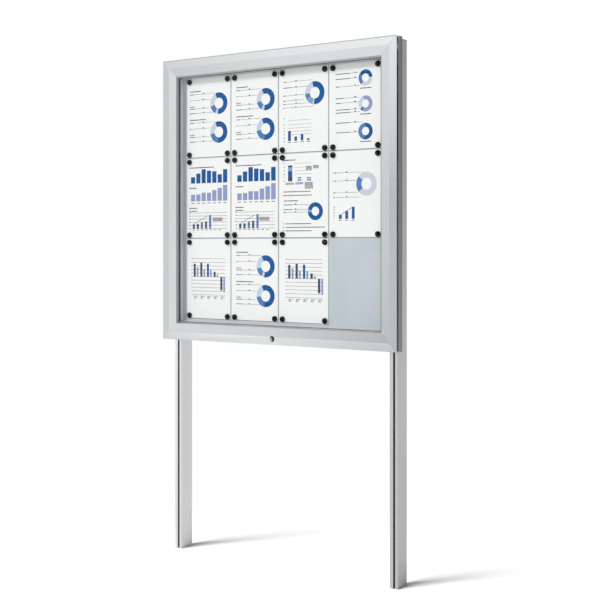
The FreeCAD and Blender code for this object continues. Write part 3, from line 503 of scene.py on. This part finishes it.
# Slices run clockwise from start, in degrees from the top.
def ring(page, x, y, radius, start, slices, hole=0.5):
    for sweep, ink in slices:
        steps = max(1, math.ceil(sweep / 9))
        turns = [math.radians(start + sweep * i / steps) for i in range(steps + 1)]
        for first, last in zip(turns, turns[1:]):
            inner = radius * hole
            corners = ((radius, first), (radius, last), (inner, last), (inner, first))
            page.append((ink, [(x + r * math.sin(a), y + r * math.cos(a)) for r, a in corners]))
        start += sweep


def bars(page, x, y, pitch, width, heights, inks):
    for i, height in enumerate(heights):
        block(page, inks[i % len(inks)], x + i * pitch, y, width, height)


def bar_labels(page, x, y, pitch, width, count):
    for i in range(count):
        words(page, x + i * pitch, y, width)


def scale_marks(page, x, levels):
    for y in levels:
        words(page, x, y, 5)


def ring_group(page, left, y, heading, slices):
    words(page, left, y + 50, heading, 3.4, BLACK)
    for rise, label, reach in (
            (39, 20, 132), (17, 6, 114), (-14.5, 26, 108), (-31.5, 27, 132)):
        callout(page, left, y + rise, label, reach)
    words(page, left, y - 7, 22)
    ring(page, 153.5, y, 40, -25, slices)


def page_of_rings(page, left, upper, lower):
    ring_group(page, left, 198.5, 52, upper)
    ring_group(page, left, 92, 77, lower)


def page_ring_and_columns(page):
    for y, label, reach in ((252, 12, 142), (231, 38, 125), (203, 10, 106),
                            (185, 12, 106), (173, 13, 120), (160, 6, 148)):
        callout(page, 18, y, label, reach, 70)
    ring(page, 152, 206, 40.5, -15,
         [(200, DEEP), (10, MIST), (45, SKY), (28, MIDDLE), (32, PALE), (45, PALE)])
    scale_marks(page, 20, (42.5, 54.3, 66, 77.7, 89, 101, 123))
    for y in (65, 76, 87.5, 100, 115):
        rule(page, 38, y, 139, HAIR, 1.0)
    for x, width, height, ink in ((38.4, 12.3, 36, DEEP), (66, 11, 15, STEEL),
                                  (93, 11, 23, DEEP), (119, 11, 6, STEEL)):
        block(page, ink, x, 42.5, width, height)
        words(page, x - 1, 37.5, 14)


def page_of_three_rings(page):
    for y, radius, start, slices in (
            (242.5, 27.5, -55, [(142, DEEP), (128, PALE), (90, MIDDLE)]),
            (154.5, 27.5, -20, [(232, LAVENDER), (16, STEEL), (50, PALE), (62, MIST)]),
            (61, 28.5, 0, [(190, DEEP), (170, MIDDLE)])):
        ring(page, 145, y, radius, start, slices)
        words(page, 124, y - 35, 44, 3.2, BLACK)
    for y, label, reach in ((262, 59, 118), (244.5, 58, 113), (218, 20, 124),
                            (178, 32, 120), (162, 20, 118), (138.5, 58, 118),
                            (128.5, 58, 122), (93.5, 59, 132), (60.5, 58, 114)):
        callout(page, 26, y, label, reach, 101)


def page_of_columns(page, shift):
    words(page, 13 + shift, 263.5, 118, 3.4, BLACK)
    bars(page, 21 + shift, 205, 25.3, 20, (24, 37, 52, 46, 43, 31, 49), [DEEP])
    words(page, 13 + shift, 187, 36, 3.4, BLACK)
    bars(page, 21 + shift, 138, 25.3, 20, (25, 26, 32, 31, 40, 48, 58), [LAVENDER])
    bar_labels(page, 24 + shift, 131, 25.3, 14, 7)
    for y in (112, 101.3):
        words(page, 13 + shift, y, 38, 3.2, BLACK)
    for y in (94.6, 83, 71.5, 60, 48, 36):
        words(page, 13 + shift, y, 8)
        rule(page, 25 + shift, y, 193, GREY)
    bars(page, 29.5 + shift, 36, 19.5, 10, (17, 18, 24, 27, 50),
         [STEEL, STEEL, MIDDLE, STEEL, MIDDLE])
    stroke(page, BLACK, 37 + shift, 55, 102 + shift, 84, 1.8)
    for y in (75, 71.5, 68, 64.5):
        words(page, 126, y, 45, 2.4)
    bar_labels(page, 29 + shift, 31, 20.5, 10, 7)


def page_of_stacks(page):
    words(page, 20, 275, 52, 3.4, BLACK)
    scale_marks(page, 20, (263, 250.5, 238, 225.5, 213, 200.6))
    for y in (262.5, 249, 237, 225):
        rule(page, 64, y, 138, HAIR, 1.0)
    for x, width, parts in ((38.4, 18.5, ((17, STEEL), (19, DEEP), (14, SKY), (6, GREY))),
                            (79, 17.5, ((6, LAVENDER), (5, PALE), (3, MIDDLE))),
                            (118, 19, ((6, SKY), (4, PALE), (3, MIDDLE)))):
        y = 200
        for height, ink in parts:
            block(page, ink, x, y, width, height)
            y += height
    for x, y, length, lines in ((115, 250, 24, 4), (145, 252, 24, 3), (29, 194, 34, 2),
                                (69, 194, 35, 2), (110, 194, 35, 6)):
        for i in range(lines):
            words(page, x, y - 4 * i, length, 2.6)
    for y, length in ((163, 118), (150, 122)):
        words(page, 17, y, length, 3.0)
    words(page, 20, 131, 61, 3.4, BLACK)
    for y, label, reach in ((117, 38, 127), (100, 40, 123), (90.5, 10, 123)):
        callout(page, 20, y, label, reach, 68)
    ring(page, 154.5, 93, 31.5, 284, [(338, DEEP), (22, SKY)])
    for y, length in ((50, 108), (37.5, 166), (25, 111)):
        words(page, 17, y, 5)
        words(page, 29, y, length, 3.0)


def page_of_pale_ring(page):
    for y, label, reach in ((223, 14, 140), (195, 12, 109), (154.5, 10, 115), (138.5, 7, 121)):
        callout(page, 16, y, label, reach, 67)
    ring(page, 149, 182.7, 40.5, 228, [(81, MIDDLE), (279, PALE)])
    scale_marks(page, 17, (105, 96, 87, 78, 69.5))
    bars(page, 38.5, 64.5, 26, 11.5, (15, 27.5, 41), [DEEP])
    stroke(page, GREY, 44, 77, 96, 106, 1.8)
    bar_labels(page, 38.5, 60, 26, 11, 3)


def page_of_pairs(page, shift):
    for i in range(11):
        words(page, 24 + shift, 224 - 13.4 * i, 4)
        rule(page, 30 + shift, 224 - 13.4 * i, 184 if i != 5 else 188, GREY)
    bars(page, 34 + shift, 157, 31.6, 9.8, (48, 52, 49, 19, -50), [STEEL, STEEL, DEEP])
    bars(page, 49 + shift, 157, 31.3, 7.8, (36, 28, 26, 9, -55), [LAVENDER])
    for i in range(5):
        for y in (84, 80, 76):
            words(page, 36 + shift + 31.4 * i, y, 20 if y > 80 else 12, 2.0)


pages = {
    "sheet_row1_col1": lambda page: page_of_rings(
        page, 16, [(213, DEEP), (17, MIST), (50, MIDDLE), (80, PALE)],
        [(210, DEEP), (75, MIDDLE), (30, MIST), (45, PALE)]),
    "sheet_row1_col2": lambda page: page_of_rings(
        page, 21, [(215, DEEP), (18, MIST), (47, MIDDLE), (80, PALE)],
        [(213, DEEP), (74, MIDDLE), (73, MIST)]),
    "sheet_row1_col3": page_ring_and_columns,
    "sheet_row1_col4": page_of_three_rings,
    "sheet_row2_col1": lambda page: page_of_columns(page, 0),
    "sheet_row2_col2": lambda page: page_of_columns(page, 5),
    "sheet_row2_col3": page_of_stacks,
    "sheet_row2_col4": page_of_pale_ring,
    "sheet_row3_col1": lambda page: page_of_pairs(page, 0),
    "sheet_row3_col2": lambda page: page_of_rings(
        page, 22, [(215, DEEP), (18, PALE), (50, MIDDLE), (77, MIST)],
        [(215, DEEP), (75, MIDDLE), (70, MIST)]),
    "sheet_row3_col3": lambda page: page_of_pairs(page, 5),
}


# Paper and ink as closed slabs.
def print_sheet(name, page, material):
    low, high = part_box(name)
    mesh = bpy.data.meshes.new(f"{name} printed")
    work = bmesh.new()
    paint = work.faces.layers.float_color.new("ink")

    def slab(outline, front, rear, ink):
        loops = []
        for depth in (front, rear):
            loops.append([work.verts.new((x, depth, z)) for x, z in outline])
        faces = [work.faces.new(loops[0]), work.faces.new(list(reversed(loops[1])))]
        count = len(outline)
        for i in range(count):
            j = (i + 1) % count
            faces.append(work.faces.new((loops[0][j], loops[0][i], loops[1][i], loops[1][j])))
        for face in faces:
            face[paint] = (*ink, 1)

    corners = [(low.x, low.z), (high.x, low.z), (high.x, high.z), (low.x, high.z)]
    slab(corners, low.y, high.y, PAPER)
    block(page, EDGE, 0, 0, SHEET_WIDE, STRIP_LOW)
    block(page, EDGE, SHEET_WIDE - STRIP_RIGHT, STRIP_LOW, STRIP_RIGHT, SHEET_HIGH - STRIP_LOW)
    for ink, outline in page:
        area = sum(a[0] * b[1] - b[0] * a[1] for a, b in zip(outline, outline[1:] + outline[:1]))
        if area < 0:
            outline = outline[::-1]
        placed = [(low.x + u * MM, low.z + v * MM) for u, v in outline]
        proud = LINE_INK if ink in (GREY, BLACK, HAIR) else INK
        slab(placed, low.y - proud, low.y + INK, ink)
    work.to_mesh(mesh)
    work.free()
    mesh.materials.append(material)
    piece = bpy.data.objects.new(f"{name}_printed", mesh)
    bpy.context.collection.objects.link(piece)
    return stands_for(piece, name)


paper = printed_paper()
for name, lay_out in pages.items():
    page = []
    lay_out(page)
    print_sheet(name, page, paper)

# Magnets
# Round magnets in deep black plastic cups that hardly shine, with a flat face and a rounded
# rim, one near each corner of a sheet.
ROUND_RIMMED = 7.0
magnet_plastic = moulded("black magnet plastic", (0.002, 0.002, 0.0025), 0.4, 600.0,
                         specular=0.02)
paper_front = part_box("sheet_row1_col1")[0].y
heads("magnets", paper_front, FRONT, radius=0.010, height=0.007, squareness=ROUND_RIMMED,
      material=magnet_plastic, rings=12)

# Door members
# Four mitred lengths of one extrusion, anodised silver, with beads behind the glass. The
# inner facet slopes back to a rougher lip. Both facets carry painted light and shade, in tones
# that change along their length, and the lip's tone is painted shade. A band along the top
# rail's upper edge is painted darker as shade, and the walls of the groove at the back are
# painted paler, as painted light.
# Painted shade: a band this deep along the top rail's upper edge, and its grey.
SHADED_EDGE_WIDTH = 0.0028
SHADED_EDGE_GREY = (0.42, 0.43, 0.44, 1)
GROOVE_FROM = 0.005
# A face is seen from the front when its normal leans forward by more than the first of these,
# and slopes in when it leans towards the glass by more than the second.
FACING_FRONT = 0.5
SLOPING_IN = 0.05


# Another colour for a metal than the plain one that it was made with.
def recolour(material, colour):
    skin = next(item for item in material.node_tree.nodes if item.type == "GROUP")
    material.node_tree.links.new(colour, skin.inputs["Metal"])
    return material


# Metal with three tones of painted light and shade, at the start, in the middle and at the
# end of a length. Above the shaded edge, where there is one, it is painted darker as shade.
def facet(name, axis, ends, tones, shaded_edge=None):
    material = metal(name, (1, 1, 1), ALONG_X if axis == "X" else ALONG_Z, 0.30)
    tree = material.node_tree
    position = node(tree, "ShaderNodeTexCoord").outputs["Object"]
    place = node(tree, "ShaderNodeSeparateXYZ", {0: position}).outputs
    along = node(tree, "ShaderNodeMapRange",
                 {"Value": place[axis], "From Min": ends[0], "From Max": ends[1]})
    ramp = node(tree, "ShaderNodeValToRGB", {"Fac": along.outputs["Result"]})
    ramp.color_ramp.elements.new(0.5)
    for stop, tone in zip(ramp.color_ramp.elements, tones):
        stop.color = (tone, tone * 1.03, tone * 1.045, 1)
    colour = ramp.outputs["Color"]
    if shaded_edge:
        in_shaded_edge = maths(tree, "GREATER_THAN", place["Z"], shaded_edge)
        colour = node(tree, "ShaderNodeMix", {0: in_shaded_edge, 6: colour, 7: SHADED_EDGE_GREY},
                      data_type="RGBA").outputs[2]
    return recolour(material, colour)


# The way to the glass, the three tones of painted light and shade of the outer and of the
# inner facet, and the lip's painted shade.
for name, inward, outer, inner, lip in (
        ("door_top_rail", (0, 0, -1), (0.67, 0.81, 0.89), (0.66, 0.79, 0.81), 0.68),
        ("door_bottom_rail", (0, 0, 1), (0.76, 0.88, 0.66), (0.70, 0.66, 0.49), 0.42),
        ("door_left_stile", (1, 0, 0), (0.72, 0.58, 0.61), (0.82, 0.67, 0.73), 0.46),
        ("door_right_stile", (-1, 0, 0), (0.60, 0.51, 0.83), (0.63, 0.61, 0.71), 0.42)):
    axis = "X" if name.endswith("rail") else "Z"
    low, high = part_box(name)
    ends = (low.x, high.x) if axis == "X" else (low.z, high.z)
    shaded_edge = high.z - SHADED_EDGE_WIDTH if name == "door_top_rail" else None
    front = facet(f"{name} outer facet", axis, ends, outer, shaded_edge)
    mesh = eased(name, front, edge=0.0007).data
    mesh.materials.append(facet(f"{name} inner facet", axis, ends, inner))
    # Each lip's tone is painted shade.
    mesh.materials.append(metal(f"{name} lip", (lip, lip * 1.01, lip * 1.03), NO_LINES, 0.6))
    # Painted light: the walls of the groove take the paler grey.
    mesh.materials.append(pale_wall_painted_light)
    outer_corner = high if sum(inward) < 0 else low
    for face in mesh.polygons:
        lean = face.normal.dot(Vector(inward))
        from_edge = (face.center - outer_corner).dot(Vector(inward))
        if face.normal.y < -FACING_FRONT and lean > SLOPING_IN:
            face.material_index = 2 if lean > SQUARE_ON else 1
        elif lean < -SQUARE_ON and from_edge > GROOVE_FROM:
            face.material_index = 3
# The beads take the right post's silver, with its painted shade.
eased("glazing_beads", silver["right"])


# Glass
# A clear 4 mm pane, held in the rubber channel. Lamps shine through it, so that the sheets
# behind are lit as they are in the open.
def clear_glass():
    material, tree, shader = new_material("clear glass")
    shader.inputs["Base Color"].default_value = (0.99, 0.995, 0.992, 1)
    shader.inputs["Roughness"].default_value = 0.0
    shader.inputs["IOR"].default_value = 1.5
    shader.inputs["Transmission Weight"].default_value = 1.0
    shader.inputs["Specular Tint"].default_value = (0.15, 0.15, 0.15, 1)
    through = node(tree, "ShaderNodeBsdfTransparent", {"Color": (0.98, 0.985, 0.982, 1)})
    path = node(tree, "ShaderNodeLightPath").outputs
    lamps = maths(tree, "MAXIMUM", path["Is Shadow Ray"], path["Is Diffuse Ray"])
    mix = node(tree, "ShaderNodeMixShader",
               {0: lamps, 1: shader.outputs[0], 2: through.outputs[0]})
    tree.links.new(mix.outputs[0], tree.nodes["Material Output"].inputs["Surface"])
    return material


dress("glass_pane", clear_glass())

# Hinge
# Two steel leaves whose knuckles alternate along one pin, riveted to the case's top wall and
# to the back of the door.
# The leaves' thickness, and the plane of the door's back, on which one of them lies.
LEAF = 0.0015
DOOR_BACK = -0.064
for name in ("hinge_case_leaf", "hinge_door_leaf"):
    eased(name, plated_steel, edge=0.0002, smooth=30)
dress("hinge_pin", plated_steel)
small_rivets("hinge_case_rivets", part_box("hinge_case_leaf")[1].z - LEAF, DOWN)
small_rivets("hinge_door_rivets", DOOR_BACK + LEAF, REAR)

# Gas struts
# A grey painted cylinder and a chromed rod in each side channel, on plated steel brackets
# that are riveted to the case's side walls and to the back of the door. The cylinder's grey is
# paler than a strut's usual black, as painted light in the shaded channel.
CASE_HALF_WIDTH = 0.505
BRACKET_PLATE = 0.002
# Painted light: a mid grey, paler than a strut's usual black.
strut_paint_and_light = metal("grey paint on steel", (0.13, 0.132, 0.138), NO_LINES, 0.35, metallic=0.0)
rod_chrome = metal("hard chrome", (0.62, 0.62, 0.63), ALONG_Z, 0.12, lines=0.03, depth=0.000004)
for side in ("left", "right"):
    eased(f"strut_cylinder_{side}", strut_paint_and_light, edge=0.0005, smooth=30, segments=3)
    eased(f"strut_rod_{side}", rod_chrome, smooth=30)
    eased(f"strut_case_bracket_{side}", plated_steel, smooth=30)
    eased(f"strut_door_bracket_{side}", plated_steel, smooth=30)
plate_face = CASE_HALF_WIDTH - CASE_WALL - BRACKET_PLATE
small_rivets("case_bracket_rivets_left", -plate_face, RIGHT)
small_rivets("case_bracket_rivets_right", plate_face, LEFT)
small_rivets("door_bracket_rivets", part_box("strut_door_bracket_left")[0].y + BRACKET_PLATE, REAR)

# Lock
# A cam lock through the bottom rail: a nickel plated barrel with a keyway, with a painted
# highlight on its left and painted shade on its right, a steel cam behind it, and a folded
# keeper riveted to the case.
# Where the painted highlight sits, where the painted shade begins, and how dark it is.
HIGHLIGHT_OFFSET = (-0.0045, 0, -0.002)
HIGHLIGHT_TO, SHADE_FROM = 0.0058, 0.0085
PAINTED_SHADE_BLACK = (0.02, 0.02, 0.022, 1)
KEEPER = 0.0015


# A painted highlight, a round patch a little to one side of the lock's middle, and painted
# shade around it.
def painted_crescent(name, tone):
    material = metal(name, (1, 1, 1), NO_LINES, 0.22, lines=0.05)
    tree = material.node_tree
    low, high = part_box("lock_housing")
    middle = (low + high) / 2 + Vector(HIGHLIGHT_OFFSET)
    position = node(tree, "ShaderNodeTexCoord").outputs["Object"]
    place = node(tree, "ShaderNodeVectorMath", {0: position, 1: middle}, operation="SUBTRACT")
    flat = node(tree, "ShaderNodeVectorMath", {0: place.outputs[0], 1: (1, 0, 1)},
                operation="MULTIPLY")
    away = node(tree, "ShaderNodeVectorMath", {0: flat.outputs[0]}, operation="LENGTH")
    dark = node(tree, "ShaderNodeMapRange",
                {"Value": away.outputs["Value"], "From Min": HIGHLIGHT_TO, "From Max": SHADE_FROM})
    colour = node(tree, "ShaderNodeMix",
                  {0: dark.outputs["Result"], 6: (tone, tone, tone * 1.02, 1),
                   7: PAINTED_SHADE_BLACK}, data_type="RGBA")
    return recolour(material, colour.outputs[2])


# Painted highlight and painted shade on the barrel and on the plug.
eased("lock_housing", painted_crescent("nickel plate, dark to one side", 0.75), edge=0.0005, smooth=30)
eased("lock_plug", painted_crescent("plug, dark to one side", 0.62), edge=0.0002, smooth=30)
nickel = metal("nickel plate", (0.52, 0.52, 0.53), NO_LINES, 0.22, lines=0.05)
eased("lock_nut", nickel, edge=0.0005, smooth=30)
for name in ("lock_cam", "lock_keeper"):
    eased(name, plated_steel, edge=0.0002, smooth=30)
dress("cam_screw", plated_steel)
CASE_UNDERSIDE = 0.795
small_rivets("keeper_rivets", CASE_UNDERSIDE + CASE_WALL + KEEPER, UP)


# Studio
# A plain white floor under a white surround, a soft sun from the left and in front, a second
# one that falls on the floor alone, and the camera where the photographer stood.
def studio():
    world = bpy.data.worlds.new("White surround")
    bpy.context.scene.world = world
    world.use_nodes = True
    tree = world.node_tree
    path = node(tree, "ShaderNodeLightPath").outputs
    seen = maths(tree, "MAXIMUM", path["Is Camera Ray"], path["Is Transmission Ray"])
    toward = node(tree, "ShaderNodeTexCoord").outputs["Generated"]
    rise = maths(tree, "ABSOLUTE", node(tree, "ShaderNodeSeparateXYZ", {0: toward}).outputs["Z"])
    dim_side = node(tree, "ShaderNodeVectorMath", {0: toward, 1: (0.66, 0.70, -0.26)},
                    operation="DOT_PRODUCT")

    def fade(value, start, end, level, to_level):
        return node(tree, "ShaderNodeMapRange",
                    {"Value": value, "From Min": start, "From Max": end,
                     "To Min": level, "To Max": to_level},
                    interpolation_type="SMOOTHSTEP").outputs["Result"]

    # Dimmer behind and to the right, and brightest low down, more so for the paper than in
    # what the metal mirrors.
    falling = fade(dim_side.outputs["Value"], -0.2, 0.8, 1.0, 0.38)
    mirrored = fade(rise, 0.0, 0.45, 1.15, 0.65)
    shining = fade(rise, 0.2, 0.65, 1.35, 0.40)
    banded = node(tree, "ShaderNodeMix",
                  {"Factor": path["Is Glossy Ray"], "A": shining, "B": mirrored})
    around = maths(tree, "MULTIPLY", falling, banded.outputs["Result"])
    level = node(tree, "ShaderNodeMix", {"Factor": seen, "A": around, "B": 1.0})
    sky = tree.nodes["Background"]
    tree.links.new(level.outputs["Result"], sky.inputs["Strength"])
    sky.inputs["Color"].default_value = (1, 1, 1, 1)


# Seen directly, the floor shows its light and shade near the object, and turns to plain white
# further out, in metres from the middle. Light that bounces off it meets a plain grey.
FLOOR_HALF = 30.0
PLAIN_FROM, PLAIN_TO = 0.62, 1.0
FLOOR_GREY, FLOOR_BOUNCE = 0.575, 0.35


def floor():
    half = FLOOR_HALF
    mesh = bpy.data.meshes.new("Floor")
    corners = [(-half, -half, 0), (half, -half, 0), (half, half, 0), (-half, half, 0)]
    mesh.from_pydata(corners, [], [(0, 1, 2, 3)])
    ground = bpy.data.objects.new("Floor", mesh)
    bpy.context.collection.objects.link(ground)
    material, tree, shader = new_material("white floor")
    shader.inputs["Base Color"].default_value = (FLOOR_BOUNCE, FLOOR_BOUNCE, FLOOR_BOUNCE, 1)
    shader.inputs["Roughness"].default_value = 0.9
    shader.inputs["Specular IOR Level"].default_value = 0.0
    lit = node(tree, "ShaderNodeBsdfDiffuse", {"Color": (FLOOR_GREY, FLOOR_GREY, FLOOR_GREY, 1)})
    glow = node(tree, "ShaderNodeEmission", {"Color": (1, 1, 1, 1), "Strength": 1.0})
    place = node(tree, "ShaderNodeTexCoord").outputs["Object"]
    distance = node(tree, "ShaderNodeVectorMath", {0: place}, operation="LENGTH")
    far = node(tree, "ShaderNodeMapRange",
               {"Value": distance.outputs["Value"], "From Min": PLAIN_FROM, "From Max": PLAIN_TO},
               interpolation_type="SMOOTHSTEP")
    seen = node(tree, "ShaderNodeMixShader",
                {0: far.outputs["Result"], 1: lit.outputs[0], 2: glow.outputs[0]})
    path = node(tree, "ShaderNodeLightPath").outputs
    direct = maths(tree, "MAXIMUM", path["Is Camera Ray"], path["Is Transmission Ray"])
    mix = node(tree, "ShaderNodeMixShader", {0: direct, 1: shader.outputs[0], 2: seen.outputs[0]})
    tree.links.new(mix.outputs[0], tree.nodes["Material Output"].inputs["Surface"])
    mesh.materials.append(material)
    return ground


def sun(name, strength, spread, toward):
    data = bpy.data.lights.new(name, "SUN")
    data.angle = math.radians(spread)
    data.energy = strength
    item = bpy.data.objects.new(name, data)
    bpy.context.collection.objects.link(item)
    item.rotation_euler = Vector(toward).to_track_quat("-Z", "Y").to_euler()
    item.visible_glossy = False
    return item


def group_of(name, members):
    group = bpy.data.collections.new(name)
    for member in members:
        group.objects.link(member)
    return group


# The floor's own sun comes from nearly the same side. It falls on nothing else, and only the
# posts shade it, so that two soft streaks lie at their feet.
def lamps(ground):
    sun("Soft key", strength=1.7, spread=15, toward=(0.43, 0.70, -0.60))
    floor_key = sun("Floor key", strength=6.6, spread=34, toward=(0.33, 0.75, -0.60))
    posts = [bpy.data.objects[f"post_{side}_finished"] for side in ("left", "right")]
    linking = floor_key.light_linking
    linking.receiver_collection = group_of("Lit by the floor key", [ground])
    linking.blocker_collection = group_of("Shade from the floor key", posts)


def camera():
    data = bpy.data.cameras.new("Camera")
    data.sensor_fit = "HORIZONTAL"
    data.sensor_width = 36.0
    data.lens = 70.14
    data.shift_y = -0.0928
    data.clip_end = 200.0
    item = bpy.data.objects.new("Camera", data)
    bpy.context.collection.objects.link(item)
    item.location = (2.4074, -3.4330, 1.1507)
    item.rotation_euler = (math.radians(90), 0, math.radians(34.27))
    bpy.context.scene.camera = item


studio()
lamps(floor())
camera()
bpy.context.scene.view_settings.view_transform = "Standard"
